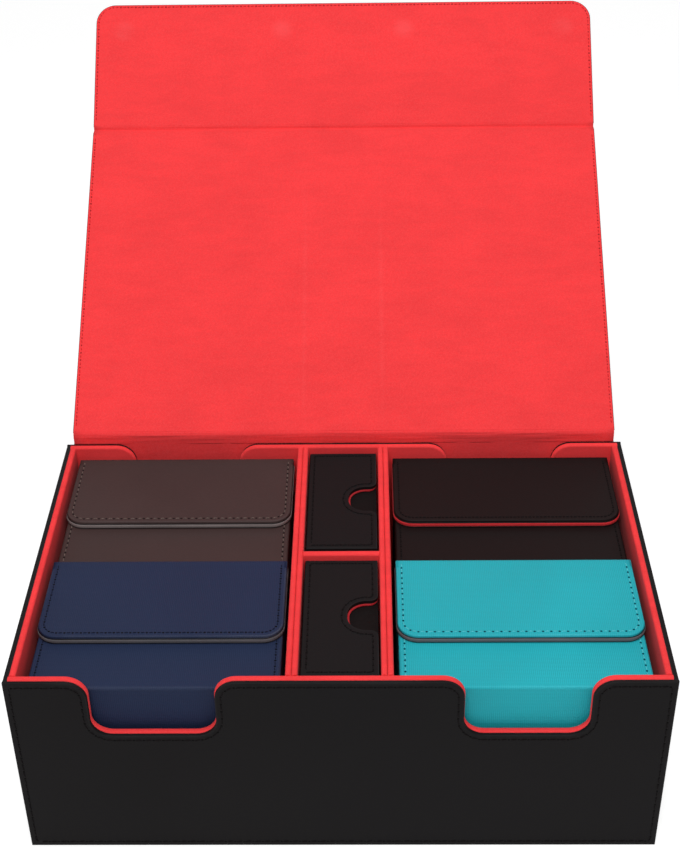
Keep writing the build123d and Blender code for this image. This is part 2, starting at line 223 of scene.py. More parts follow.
def rough_surface(tree, shader, strength, distance, height):
    """Give the shader a bump from a height."""
    bump = add(tree, "Bump", {"Strength": strength, "Distance": distance, "Height": height})
    tree.links.new(bump.outputs["Normal"], shader.inputs["Normal"])


def cloudy(tree, place, size, detail=3.0, distortion=0.0):
    """Noise whose features are about size metres across."""
    ends = {"Vector": place, "Scale": 1 / size, "Detail": detail, "Distortion": distortion}
    return add(tree, "TexNoise", ends).outputs["Fac"]


def hatching(tree, place, pitch):
    """Two crossed sets of fine diagonal ridges on every face of a box."""
    normal = add(tree, "NewGeometry", {}).outputs["Normal"]
    sideways = add(tree, "SeparateXYZ", {"Vector": normal}).outputs["X"]
    on_side = spread(tree, sums(tree, "ABSOLUTE", sideways, 0.0), 0.45, 0.55)
    waves = []
    for direction in ((1, 1, 1), (1, -1, -1), (1, -1, 1)):
        turned = add(tree, "VectorMath", {0: place, 1: direction}, operation="DOT_PRODUCT")
        per_metre = 2 * math.pi / (pitch * math.sqrt(2))
        angle = sums(tree, "MULTIPLY", turned.outputs["Value"], per_metre)
        waves.append(sums(tree, "SINE", angle, 0.0))
    other = add(tree, "Mix", {0: on_side, 2: waves[1], 3: waves[2]}).outputs[0]
    return spread(tree, sums(tree, "MULTIPLY", waves[0], other), -1.0, 1.0)


def leather(name, colour, grain, depth, rough, shine, wear_and_highlight=0.02, hatch=0.0):
    """Imitation leather: pebbled grain and soft blotches.

    Edges and folds are paled, partly as scuffed, worn edges and partly as a painted highlight; hatch is
    the pitch of a fine cross-hatch.
    """
    material, tree, shader, place = blank(name)
    blotch = cloudy(tree, place, 0.05, 4.0, 0.4)
    fine = cloudy(tree, place, grain * 0.35, 2.0)
    pebbles = add(tree, "TexVoronoi", {"Vector": place, "Scale": 1 / grain}, feature="SMOOTH_F1")
    height = weighed(tree, pebbles.outputs["Distance"], 0.8, fine, 0.45)
    if hatch:
        lines = hatching(tree, place, hatch)
        height = sums(tree, "ADD", sums(tree, "MULTIPLY", height, 0.35), lines)
    tone = weighed(tree, blotch, 0.75, height, 0.25)
    base = mix(tree, spread(tree, tone, 0.3, 0.75), shade(colour, 0.88), shade(colour, 1.1))
    if hatch:
        base = mix(tree, spread(tree, lines, 0.2, 0.8, 0.0, 0.62), base, shade(colour, 0.55))
    if wear_and_highlight:
        # worn edges and painted highlight: the colour is paled along edges and folds
        normal = add(tree, "NewGeometry", {}).outputs["Normal"]
        rounded = add(tree, "Bevel", {"Radius": WEAR_AND_HIGHLIGHT_RADIUS}, samples=4).outputs["Normal"]
        edge = add(tree, "VectorMath", {0: normal, 1: rounded}, operation="DOT_PRODUCT")
        near_edge = spread(tree, edge.outputs["Value"], 0.995, 0.85)
        wear_and_highlight_mask = sums(tree, "MULTIPLY", near_edge, spread(tree, blotch, 0.35, 0.6))
        base = mix(tree, sums(tree, "MULTIPLY", wear_and_highlight_mask, 0.8), base, pale(colour, wear_and_highlight))
    tree.links.new(base, shader.inputs["Base Color"])
    gloss = spread(tree, sums(tree, "ADD", blotch, fine), 0.6, 1.4, rough - 0.07, rough + 0.09)
    tree.links.new(gloss, shader.inputs["Roughness"])
    rough_surface(tree, shader, 0.7, depth, height)
    shader.inputs[SPECULAR].default_value = shine
    return material


def near_lines(tree, place, distances, half, low, high):
    """1 on upright lines at distances from the middle, between two heights, and 0 elsewhere."""
    parts = add(tree, "SeparateXYZ", {"Vector": place}).outputs
    across = sums(tree, "ABSOLUTE", parts["X"], 0.0)
    found = None
    for distance in distances:
        away = sums(tree, "ABSOLUTE", sums(tree, "SUBTRACT", across, distance), 0.0)
        line = spread(tree, away, half, 0.0)
        found = line if found is None else sums(tree, "MAXIMUM", found, line)
    rising = spread(tree, parts["Z"], low, low + 0.02)
    falling = spread(tree, parts["Z"], high, high - 0.03)
    return sums(tree, "MULTIPLY", found, sums(tree, "MULTIPLY", rising, falling))


def near_points(tree, place, points, radius):
    """1 at the given points, and 0 beyond radius from them."""
    found = None
    for point in points:
        away = add(tree, "VectorMath", {0: place, 1: tuple(point)}, operation="DISTANCE")
        spot = spread(tree, away.outputs["Value"], radius * 1.1, radius * 0.4)
        found = spot if found is None else sums(tree, "MAXIMUM", found, spot)
    return found


def suede(name, colour, nap=0.1, lines=None, points=None, rim=None):
    """Short-napped cloth: brushed patches, streaks, tiny fibres and a soft sheen.

    lines and points are where the cloth is paler, in line with the dividers and over the magnets. rim is
    the height from which painted shade darkens the colour downwards, standing in for the dark gap beside
    the deck boxes in the photograph.
    """
    material, tree, shader, place = blank(name)
    pulled = add(tree, "Mapping", {"Vector": place, "Scale": (0.3, 1.0, 1.0)}).outputs["Vector"]
    patches = cloudy(tree, place, 0.03, 5.0, 0.4)
    streaks = cloudy(tree, pulled, 0.005, 3.0, 0.3)
    grains = cloudy(tree, place, 1.1 * MM, 2.0)
    fibres = cloudy(tree, place, 0.4 * MM, 3.0)
    brushed = spread(tree, weighed(tree, patches, 0.6, streaks, 0.4), 0.38, 0.62)
    base = mix(tree, brushed, shade(colour, 1 - nap), shade(colour, 1 + nap))
    base = mix(tree, spread(tree, grains, 0.3, 0.7, 0.0, 0.16), base, shade(colour, 0.65))
    base = mix(tree, spread(tree, fibres, 0.4, 0.75, 0.0, 0.25), base, pale(colour, 0.12))
    for mark, amount in ((lines and near_lines(tree, place, *lines), 0.025),
                         (points and near_points(tree, place, *points), 0.045)):
        if mark:
            patchy = spread(tree, streaks, 0.35, 0.6, 0.3 * amount, amount)
            faded = sums(tree, "MULTIPLY", mark, patchy)
            base = mix(tree, faded, base, pale(colour, 0.45))
    if rim:
        height = add(tree, "SeparateXYZ", {"Vector": place}).outputs["Z"]
        # painted shade: the colour darkens below the rim, standing in for the shade in the gap beside
        # the deck boxes
        painted_shade_mask = spread(tree, height, rim - PAINTED_SHADE_START, rim - PAINTED_SHADE_END, 0.0, 0.9)
        base = mix(tree, painted_shade_mask, base, shade(colour, 0.4))
    tree.links.new(base, shader.inputs["Base Color"])
    for name_of, value in (("Roughness", 0.93), (SPECULAR, 0.1), ("Sheen Weight", 0.12),
                           ("Sheen Roughness", 0.45), ("Sheen Tint", pale(colour, 0.3))):
        shader.inputs[name_of].default_value = value
    height = sums(tree, "ADD", fibres, sums(tree, "MULTIPLY", streaks, 0.8))
    rough_surface(tree, shader, 0.5, 0.12 * MM, height)
    return material


def thread(name, colour):
    """Twisted sewing thread."""
    material, tree, shader, place = blank(name)
    ends = {"Vector": place, "Scale": 1 / (2.2 * MM), "Distortion": 1.5, "Detail": 1.0}
    twist = add(tree, "TexWave", ends, bands_direction="DIAGONAL").outputs["Fac"]
    fuzz = cloudy(tree, place, 0.3 * MM, 2.0)
    base = mix(tree, sums(tree, "MULTIPLY", twist, fuzz), shade(colour, 0.75), shade(colour, 1.25))
    tree.links.new(base, shader.inputs["Base Color"])
    shader.inputs["Roughness"].default_value = 0.7
    shader.inputs[SPECULAR].default_value = 0.06
    rough_surface(tree, shader, 0.6, 0.05 * MM, twist)
    return material


def paper(name, colour, rough):
    """Paper-covered or bare board, with faint fibres."""
    material, tree, shader, place = blank(name)
    flecks = cloudy(tree, place, 1.1 * MM, 5.0, 0.6)
    clouds = cloudy(tree, place, 0.02)
    tone = weighed(tree, flecks, 0.5, clouds, 0.5)
    base = mix(tree, spread(tree, tone, 0.35, 0.65), shade(colour, 0.85), shade(colour, 1.15))
    tree.links.new(base, shader.inputs["Base Color"])
    gloss = spread(tree, flecks, 0.3, 0.7, rough - 0.08, rough + 0.05)
    tree.links.new(gloss, shader.inputs["Roughness"])
    rough_surface(tree, shader, 0.3, 0.05 * MM, flecks)
    shader.inputs[SPECULAR].default_value = 0.1
    return material


def metal(name, colour):
    """Plain nickel-plated steel."""
    material, tree, shader, place = blank(name)
    scratches = cloudy(tree, place, 0.8 * MM, 4.0, 1.5)
    base = mix(tree, spread(tree, scratches, 0.3, 0.7), shade(colour, 0.9), shade(colour, 1.05))
    tree.links.new(base, shader.inputs["Base Color"])
    tree.links.new(spread(tree, scratches, 0.3, 0.7, 0.25, 0.4), shader.inputs["Roughness"])
    shader.inputs["Metallic"].default_value = 1.0
    return material


BLACK = srgb(19, 17, 18)
RED = srgb(250, 60, 63)
DECK_SKINS = {  # colour, grain, depth, roughness, shine, paling of worn edges with painted highlight, and hatching
    "grey": (srgb(64, 48, 47), 1.0 * MM, 0.05 * MM, 0.5, 0.1, 0.05, 0.0),
    "navy": (srgb(37, 48, 76), 0.8 * MM, 0.13 * MM, 0.48, 0.08, 0.09, HATCH),
    "black": (srgb(25, 17, 17), 0.9 * MM, 0.05 * MM, 0.5, 0.06, 0.02, 0.0),
    "teal": (srgb(39, 184, 197), 0.8 * MM, 0.13 * MM, 0.46, 0.14, 0.09, HATCH),
}
SLOTS = {
    "black_leather": leather("black_leather", BLACK, 0.9 * MM, 0.05 * MM, 0.52, 0.07),
    "red_suede": suede("red_suede", RED),
    "grey_board": paper("grey_board", srgb(150, 146, 140), 0.85),
    "steel": metal("steel", srgb(190, 190, 192)),
    "grey_leather": leather("grey_leather", *DECK_SKINS["grey"]),
    "grey_lining": suede("grey_lining", srgb(124, 114, 113), 0.12),
    "navy_leather": leather("navy_leather", *DECK_SKINS["navy"]),
    "navy_lining": suede("navy_lining", srgb(92, 90, 94), 0.12),
    "black_deck_leather": leather("black_deck_leather", *DECK_SKINS["black"]),
    "red_deck_lining": suede("red_deck_lining", srgb(205, 42, 48), 0.1),
    "teal_leather": leather("teal_leather", *DECK_SKINS["teal"]),
    "teal_lining": suede("teal_lining", srgb(104, 102, 106), 0.12),
    "black_paper": paper("black_paper", srgb(12, 6, 6), 0.8),
}
FOLDS = {
    colour: leather(f"{colour}_fold", *skin[:5], 0.0, skin[6])
    for colour, skin in DECK_SKINS.items()
}
CASE_LINING = suede("case_lining", srgb(176, 30, 38), 0.1)
# the side walls' suede, with painted shade below their rim
PAINTED_SHADE_WALL_SUEDE = suede("wall_suede_painted_shade", RED, rim=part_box("left_inner_wall")[1][2])
OWN_LOOKS = {
    "rear_case_lining": CASE_LINING, "front_case_lining": CASE_LINING,
    "left_inner_wall": PAINTED_SHADE_WALL_SUEDE, "right_inner_wall": PAINTED_SHADE_WALL_SUEDE,
}
# the dark lines round the deck flaps: edge paint under the cover, and painted shadow at the foot of the
# lining
EDGE_PAINT_AND_SHADOW = {
    "grey": leather("grey_edge", srgb(18, 12, 12), 0.9 * MM, 0.03 * MM, 0.5, 0.12),
    "navy": leather("navy_edge", srgb(8, 8, 16), 0.9 * MM, 0.03 * MM, 0.5, 0.12),
    "black": leather("black_edge", srgb(8, 5, 5), 0.9 * MM, 0.03 * MM, 0.5, 0.12),
    "teal": leather("teal_edge", srgb(4, 44, 50), 0.9 * MM, 0.03 * MM, 0.5, 0.12),
}
THREADS = {
    "black": thread("black_thread", srgb(24, 20, 21)),
    "red": thread("red_thread", srgb(228, 50, 54)),
    "grey": thread("grey_thread", srgb(112, 98, 92)),
    "navy": thread("navy_thread", srgb(26, 30, 50)),
    "teal": thread("teal_thread", srgb(96, 208, 216)),
}
# the needle holes' colours, darker than their threads: painted shade in the holes
PAINTED_HOLE_SHADES = {
    "black": thread("black_holes", srgb(3, 2, 2)),
    "red": thread("red_holes", srgb(198, 42, 46)),
    "grey": thread("grey_holes", srgb(24, 18, 18)),
    "navy": thread("navy_holes", srgb(6, 7, 14)),
    "teal": thread("teal_holes", srgb(0, 70, 84)),
}


def dress_nodes():
    """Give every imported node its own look, or else the material of its slot."""
    for row in frame["record"]["subparts"]:
        node = frame["nodes"][row["node"]]
        node.data.materials.clear()
        node.data.materials.append(OWN_LOOKS.get(row["node"], SLOTS[row["material_slot"]]))


# ---- Making meshes ----

def place_mesh(name, points, faces, material, smooth=True, flat=()):
    """A new mesh object at the origin; flat are the numbers of the faces that stay unsmoothed."""
    mesh = bpy.data.meshes.new(name)
    mesh.from_pydata([tuple(point) for point in points], [], faces)
    mesh.validate()
    mesh.update()
    for face in mesh.polygons:
        face.use_smooth = smooth
    for number in flat:
        mesh.polygons[number].use_smooth = False
    mesh.materials.append(material)
    made = bpy.data.objects.new(name, mesh)
    bpy.context.scene.collection.objects.link(made)
    return made


class Face:
    """A flat surface: an origin, two directions along it and its normal."""

    def __init__(self, origin, across, up):
        self.origin = Vector(origin)
        self.across = Vector(across).normalized()
        self.up = Vector(up).normalized()
        self.normal = self.across.cross(self.up)

    def at(self, x, y, height=0.0):
        return self.origin + self.across * x + self.up * y + self.normal * height


def leaning_face(y, z, lean):
    """A panel that leans back by lean degrees, its lining side along the normal."""
    turn = math.radians(lean)
    return Face((0, y, z), (1, 0, 0), (0, math.sin(turn), math.cos(turn)))


JOINTS = {joint["name"]: joint for joint in frame["record"]["behaviour"]["joints"]}
HINGE = JOINTS["lid_hinge"]
CREASE = JOINTS["flap_crease"]
LID_LEAN = -HINGE["range_deg"][0] - 90
FLAP_FOLD = FLAP_CLOSED + CREASE["range_deg"][0]
LID = leaning_face(HINGE["pos_m"][1], HINGE["pos_m"][2], LID_LEAN)
FLAP = leaning_face(CREASE["pos_m"][1], CREASE["pos_m"][2], LID_LEAN - FLAP_FOLD)
CREASE_AT = (Vector(CREASE["pos_m"]) - LID.origin).dot(LID.up)
LID_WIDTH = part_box("lid_cover")[1][0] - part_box("lid_cover")[0][0]


def rotated(vector, angle):
    """A flat vector turned by an angle."""
    cosine, sine = math.cos(angle), math.sin(angle)
    return Vector((vector.x * cosine - vector.y * sine, vector.x * sine + vector.y * cosine))


def rounded_path(corners, radii, closed=False):
    """Points along straight runs with an arc at each corner."""
    count = len(corners)
    path = []
    for index, (corner, radius) in enumerate(zip(corners, radii)):
        here = Vector(corner)
        at_end = not closed and index in (0, count - 1)
        if at_end or not radius:
            path.append(here)
            continue
        before = (Vector(corners[index - 1]) - here).normalized()
        after = (Vector(corners[(index + 1) % count]) - here).normalized()
        half = before.angle(after) / 2
        centre = here + (before + after).normalized() * (radius / math.sin(half))
        start = here + before * (radius / math.tan(half))
        sweep = math.pi - 2 * half
        side = start - centre
        turn = 1 if before.cross(after) < 0 else -1
        for step in range(ARC_STEPS + 1):
            path.append(centre + rotated(side, turn * sweep * step / ARC_STEPS))
    if closed:
        path.append(path[0].copy())
    return path


def walk(path, pitch, phase=0.5):
    """Evenly spaced places along a path, with the direction at each."""
    lengths = [(b - a).length for a, b in zip(path, path[1:])]
    total = sum(lengths)
    count = max(round(total / pitch), 1)
    places, run, index = [], 0.0, 0
    for number in range(count):
        target = (number + phase) * total / count
        while index < len(lengths) - 1 and run + lengths[index] < target:
            run += lengths[index]
            index += 1
        share = (target - run) / lengths[index]
        along = path[index + 1] - path[index]
        places.append((path[index] + along * share, along.normalized()))
    return places


def stitching(name, body, spool, seams, share=STITCH_SHARE):
    """Separate arched stitches along seams, each a face, a path on it and a pitch.

    share is how much of the pitch a stitch takes; the rest is the gap to the next one.
    """
    chance = random.Random(name)
    points, faces = [], []
    for face, path, pitch in seams:
        length = pitch * share
        for spot, along in walk(path, pitch):
            turned = rotated(along, STITCH_SLANT + chance.uniform(*STITCH_TURNS))
            forward = face.across * turned.x + face.up * turned.y
            side = face.normal.cross(forward)
            middle = face.at(spot.x, spot.y)
            first = len(points)
            size = THREAD * chance.uniform(*STITCH_SIZES)
            for ahead, lift in STITCH_PROFILE:
                centre = middle + forward * (ahead * length) + face.normal * (lift * MM)
                for corner in range(STITCH_SIDES):
                    angle = 2 * math.pi * corner / STITCH_SIDES
                    around = side * math.cos(angle) + face.normal * math.sin(angle)
                    points.append(centre + around * size)
            rings = len(STITCH_PROFILE)
            for ring in range(rings - 1):
                for corner in range(STITCH_SIDES):
                    a = first + ring * STITCH_SIDES + corner
                    b = first + ring * STITCH_SIDES + (corner + 1) % STITCH_SIDES
                    faces.append((a, b, b + STITCH_SIDES, a + STITCH_SIDES))
            faces.append(tuple(first + corner for corner in reversed(range(STITCH_SIDES))))
            last = first + (rings - 1) * STITCH_SIDES
            faces.append(tuple(last + corner for corner in range(STITCH_SIDES)))
    made = place_mesh(name, points, faces, THREADS[spool])
    dimples = needle_holes(f"{name}_holes", seams, PAINTED_HOLE_SHADES[spool])
    for piece in (made, dimples):
        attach(piece, body)


def needle_holes(name, seams, material):
    """A small dimple between each stitch and the next, sloping down to its middle, coloured dark as
    painted shade in the needle hole.
    """
    points, faces = [], []
    sides = ROUND_SIDES
    for face, path, pitch in seams:
        for spot, _ in walk(path, pitch, 0.0)[1:]:
            first = len(points)
            for radius, height in HOLE_RINGS:
                for number in range(sides):
                    angle = 2 * math.pi * number / sides
                    out = Vector((math.cos(angle), math.sin(angle))) * (HOLE * radius)
                    points.append(face.at(spot.x + out.x, spot.y + out.y, height * MM))
            points.append(face.at(spot.x, spot.y, HOLE_MIDDLE))
            for number in range(sides):
                ahead = (number + 1) % sides
                inner = first + sides
                faces.append((first + number, first + ahead, inner + ahead, inner + number))
                faces.append((inner + number, inner + ahead, first + 2 * sides))
            faces.append(tuple(first + number for number in reversed(range(sides))))
    return place_mesh(name, points, faces, material)


def curve(start, start_pull, end, end_pull, steps):
    """Points on a Bezier curve in the Y-Z plane, from its ends and the pulls on them."""
    first, last = Vector(start), Vector(end)
    second, third = first + Vector(start_pull), last - Vector(end_pull)
    path = []
    for step in range(steps + 1):
        t = step / steps
        s = 1 - t
        path.append(first * s**3 + second * 3 * s * s * t + third * 3 * s * t * t + last * t**3)
    return path


def ribbon(name, path, thick, x, material, columns=48, ripple=0.0):
    """A bent strip across the box, from its section's middle line in Y-Z and its thickness."""
    count = len(path)
    sides = []
    for index, point in enumerate(path):
        ahead = path[min(index + 1, count - 1)] - path[max(index - 1, 0)]
        normal = Vector((-ahead.y, ahead.x)).normalized()
        half = (thick(index / (count - 1)) if callable(thick) else thick) / 2
        sides.append((point + normal * half, point - normal * half, normal))
    points, faces = [], []
    ring = 2 * count
    for column in range(columns + 1):
        across = x[0] + (x[1] - x[0]) * column / columns
        waves = [
            ripple * noise.noise(Vector((across / RIPPLE_SIZE, index * 0.4, 0)))
            * math.sin(math.pi * index / (count - 1))
            for index in range(count)
        ]
        upper = [side[0] + side[2] * wave for side, wave in zip(sides, waves)]
        lower = [side[1] + side[2] * wave for side, wave in zip(sides, waves)]
        points += [(across, spot.x, spot.y) for spot in upper + lower[::-1]]
    flat = []
    for column in range(columns):
        for index in range(ring):
            a = column * ring + index
            b = column * ring + (index + 1) % ring
            if index in (count - 1, ring - 1):
                flat.append(len(faces))
            faces.append((a, b, b + ring, a + ring))
    flat += [len(faces), len(faces) + 1]
    faces.append(tuple(reversed(range(ring))))
    faces.append(tuple(columns * ring + index for index in range(ring)))
    return place_mesh(name, points, faces, material, flat=flat)


def edge_line(name, body, material, path, z, radius):
    """A thin dark line along a path at a height: edge paint, and also painted shadow."""
    points, faces = [], []
    sides = ROUND_SIDES
    for index, spot in enumerate(path):
        ahead = (path[min(index + 1, len(path) - 1)] - path[max(index - 1, 0)]).normalized()
        out = Vector((ahead.y, -ahead.x))
        for number in range(sides):
            angle = 2 * math.pi * number / sides
            around = spot + out * (radius * math.cos(angle))
            points.append((around.x, around.y, z + radius * math.sin(angle)))
    for index in range(len(path) - 1):
        for number in range(sides):
            a, b = index * sides + number, index * sides + (number + 1) % sides
            faces.append((a, b, b + sides, a + sides))
    faces.append(tuple(reversed(range(sides))))
    faces.append(tuple((len(path) - 1) * sides + number for number in range(sides)))
    made = place_mesh(name, points, faces, material)
    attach(made, body)
    return made


# ---- Lid ----

BUMP_X = (-LID_WIDTH / 2 + MAGNET_INSET, -MAGNET_INNER, MAGNET_INNER, LID_WIDTH / 2 - MAGNET_INSET)
BUMPS = [(x, FLAP_LENGTH - MAGNET_INSET) for x in BUMP_X]
DIVIDER_MIDDLE = (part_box("right_divider")[0][0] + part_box("right_divider")[1][0]) / 2
LID_TOP = LID.at(0, CREASE_AT, 0).z
LID_SUEDE = suede(
    "lid_suede", RED, 0.05,
    lines=((DIVIDER_MIDDLE,), 1.6 * MM, LID.origin.z, LID_TOP - 0.01),
    points=([FLAP.at(x, y, LID_THICK / 2) for x, y in BUMPS], MAGNET_RADIUS),
)


def spaced(low, high, step):
    """Positions from low to high, close together near both ends."""
    near = [low + offset * MM for offset in EDGE_STEPS]
    far = [high - offset * MM for offset in reversed(EDGE_STEPS)]
    count = max(int((far[0] - near[-1]) / step), 1)
    gap = (far[0] - near[-1]) / count
    return near + [near[-1] + gap * number for number in range(1, count)] + far


def lining_cloth(name, face, y, top, corner, bumps, seed):
    """Suede on a panel: rolled down at free edges, dipped along its seam, uneven, lifted over bumps.

    The near edge runs on into a fold, and so does the far one where it has no rounded corners.
    """
    half = LID_WIDTH / 2 - TURN_IN
    rows = spaced(y[0], y[1], CLOTH_STEP)
    columns = [value / half for value in spaced(-half, half, CLOTH_STEP)]
    points = []

    def half_at(row):
        over = row - (y[1] - corner)
        if not corner or over <= 0:
            return half
        return half - (corner - math.sqrt(max(corner**2 - over**2, 0.0)))

    def height(across, row, wide):
        inside = min(wide - abs(across), y[1] - row) if corner else wide - abs(across)
        roll = -ROLL_DEPTH * math.exp(-inside / ROLL_WIDTH)
        seam = -DIP_DEPTH * math.exp(-((inside + TURN_IN - LINING_SEAM) / DIP_WIDTH) ** 2)
        spot = Vector((across / UNEVEN_SIZE, row / UNEVEN_SIZE, seed))
        quiet = min((row - y[0]) / (6 * MM), inside / (4 * MM), (y[1] - row) / (6 * MM), 1.0)
        uneven = quiet * MM * (0.14 * noise.noise(spot) + 0.05 * noise.noise(spot * 4.3))
        lift = 0.0
        for x, up in bumps:
            away = math.hypot(across - x, row - up)
            lift += BUMP_LIFT / (1 + math.exp((away - MAGNET_RADIUS) / BUMP_SLOPE))
        return top + CLOTH_LIFT + roll + seam + uneven + lift

    for row in rows:
        wide = half_at(row)
        for column in columns:
            points.append(face.at(column * wide, row, height(column * wide, row, wide)))
    under = len(points)
    for row in rows:
        wide = half_at(row)
        for column in columns:
            points.append(face.at(column * wide, row, top - LINING + 0.05 * MM))
    faces = grid_solid_faces(len(rows), len(columns), under)
    rims = range(2 * (len(rows) - 1) * (len(columns) - 1), len(faces))
    return place_mesh(name, points, faces, LID_SUEDE, flat=rims)


def grid_solid_faces(rows, columns, under):
    """Faces of a closed slab whose upper and lower grids of points follow each other."""
    faces = []
    for row in range(rows - 1):
        for column in range(columns - 1):
            a = row * columns + column
            faces.append((a, a + 1, a + columns + 1, a + columns))
            faces.append((under + a, under + a + columns, under + a + columns + 1, under + a + 1))
    rim = list(range(columns))
    rim += [row * columns + columns - 1 for row in range(1, rows)]
    rim += [(rows - 1) * columns + column for column in reversed(range(columns - 1))]
    rim += [row * columns for row in reversed(range(1, rows - 1))]
    for a, b in zip(rim, rim[1:] + rim[:1]):
        faces.append((b, a, under + a, under + b))
    return faces


def make_linings():
    """The red cloth on the lid and on its front flap."""
    lid_y = (LID_START + TURN_IN, CREASE_AT - CREASE_GAP - TURN_IN)
    lid_cloth = lining_cloth("lid_lining_cloth", LID, lid_y, LID_FACE, 0.0, (), 1.7)
    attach(lid_cloth, "lid")
    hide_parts("lid_lining")
    flap_y = (CREASE_GAP + TURN_IN, FLAP_LENGTH - TURN_IN)
    corner = FLAP_CORNER - TURN_IN
    flap_cloth = lining_cloth(
        "front_flap_lining_cloth", FLAP, flap_y, LID_THICK / 2, corner, BUMPS, 5.2
    )
    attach(flap_cloth, "front_flap")
    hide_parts("front_flap_lining")


def in_section(point):
    """A point's Y and Z."""
    return Vector((point.y, point.z))


def bending_skin(name, path, ripple):
    """A strip of the outer skin, as wide as the lid."""
    across = (-LID_WIDTH / 2, LID_WIDTH / 2)
    return ribbon(name, path, LID_SKIN, across, SLOTS["black_leather"], ripple=ripple)


def make_hinge():
    """The skin and the lining, curved between the rear wall and the lid."""
    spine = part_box("rear_spine")
    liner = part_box("spine_lining")
    up = in_section(LID.up)
    skin_end = in_section(LID.at(0, LID_START, LID_FACE - LID_THICK + LID_SKIN / 2))
    skin_start = Vector((spine[1][1] - LID_SKIN / 2, spine[1][2]))
    skin_path = curve(skin_start, (0, 2.4 * MM), skin_end, up * (2.0 * MM), 14)
    skin = bending_skin("hinge_skin", skin_path, 0.1 * MM)
    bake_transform(skin)
    half = LID_WIDTH / 2 - TURN_IN
    lining_start = Vector((liner[0][1] + LINING / 2, liner[1][2] - 0.3 * MM))
    level = CLOTH_LIFT - LINING / 2
    tucked = LID_START + TURN_IN + LINING_TUCK
    lining_end = in_section(LID.at(0, tucked, LID_FACE + level - LINING_SUNK))
    landing = in_section(LID.at(0, LID_START - 0.1 * MM, LID_FACE + level - 0.02 * MM))
    lining_path = curve(lining_start, (0, 2.6 * MM), landing, up * (1.4 * MM), 16) + [lining_end]
    lining = ribbon("hinge_lining", lining_path, LINING, (-half, half), LID_SUEDE, ripple=0.25 * MM)
    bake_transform(lining)
    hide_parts("lid_hinge_strip")


def make_crease():
    """The skin and the lining, curved between the lid and its front flap."""
    lid_up, flap_up = in_section(LID.up), in_section(FLAP.up)
    lid_out, flap_out = in_section(LID.normal), in_section(FLAP.normal)
    low = LID_FACE - LID_THICK + LID_SKIN / 2
    skin_start = in_section(LID.at(0, CREASE_AT - CREASE_GAP, low))
    skin_end = in_section(FLAP.at(0, CREASE_GAP, (LID_SKIN - LID_THICK) / 2))
    dip = 0.7 * MM
    leave, arrive = lid_up * (1.2 * MM) + lid_out * dip, flap_up * (1.2 * MM) - flap_out * dip
    skin = bending_skin("crease_skin", curve(skin_start, leave, skin_end, arrive, 12), 0.06 * MM)
    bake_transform(skin)
    half = LID_WIDTH / 2 - TURN_IN
    reach = CREASE_GAP + TURN_IN + LINING_TUCK
    level = CLOTH_LIFT - LINING / 2 - LINING_SUNK
    lining_start = in_section(LID.at(0, CREASE_AT - reach, LID_FACE + level))
    lining_end = in_section(FLAP.at(0, reach, LID_THICK / 2 + level))
    fold = (lining_start + lining_end) / 2 - (lid_out + flap_out) * (0.5 * MM)
    brink = CREASE_GAP - 0.1 * MM
    edge_low = in_section(LID.at(0, CREASE_AT - brink, LID_FACE + level + 0.04 * MM))
    edge_high = in_section(FLAP.at(0, brink, LID_THICK / 2 + level + 0.04 * MM))
    across = (edge_high - edge_low).normalized()
    near, far = 0.5 * MM, 0.7 * MM
    path = [lining_start] + curve(edge_low, lid_up * near, fold, across * far, 8)
    path += curve(fold, across * far, edge_high, flap_up * near, 8)[1:] + [lining_end]
    lining = ribbon("crease_lining", path, LINING, (-half, half), LID_SUEDE, ripple=0.12 * MM)
    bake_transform(lining)
    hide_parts("flap_crease_strip")


def lid_seams():
    """Stitches on both faces of the lid and of its front flap."""
    half = LID_WIDTH / 2
    side = half - SEAM_INSET
    outer_lid = Face(LID.at(0, 0, LID_FACE - LID_THICK), -LID.across, LID.up)
    outer_flap = Face(FLAP.at(0, 0, -LID_THICK / 2), -FLAP.across, FLAP.up)
    inner_lid = Face(LID.at(0, 0, LID_FACE + CLOTH_LIFT / 2), LID.across, LID.up)
    inner_flap = Face(FLAP.at(0, 0, LID_THICK / 2 + CLOTH_LIFT / 2), FLAP.across, FLAP.up)
    low, high = LID_START + SEAM_INSET, CREASE_AT - CREASE_GAP - SEAM_INSET
    cross = [Vector((-side, high)), Vector((side, high))]
    runs = [[Vector((x, low)), Vector((x, high))] for x in (-side, side)]
    end, corner = FLAP_LENGTH - SEAM_INSET, FLAP_CORNER - SEAM_INSET
    flap_start = CREASE_GAP + SEAM_INSET
    around = rounded_path(
        [(-side, flap_start), (-side, end), (side, end), (side, flap_start)], (0, corner, corner, 0)
    )
    flap_cross = [Vector((-side, flap_start)), Vector((side, flap_start))]
    near, rise = half - LINING_SEAM, FLAP_CORNER - LINING_SEAM
    inner_runs = [[Vector((x, low)), Vector((x, high))] for x in (-near, near)]
    far = FLAP_LENGTH - LINING_SEAM
    inner_around = rounded_path(
        [(-near, flap_start), (-near, far), (near, far), (near, flap_start)], (0, rise, rise, 0)
    )
    stitching("lid_outer_stitches", "lid", "black",
              [(outer_lid, path, COARSE_PITCH) for path in (*runs, cross)])
    stitching("flap_outer_stitches", "front_flap", "black",
              [(outer_flap, path, COARSE_PITCH) for path in (around, flap_cross)])
    stitching("lid_inner_stitches", "lid", "red",
              [(inner_lid, path, COARSE_PITCH) for path in inner_runs], RED_SHARE)
    stitching("flap_inner_stitches", "front_flap", "red",
              [(inner_flap, inner_around, COARSE_PITCH)], RED_SHARE)


# ---- Tray ----

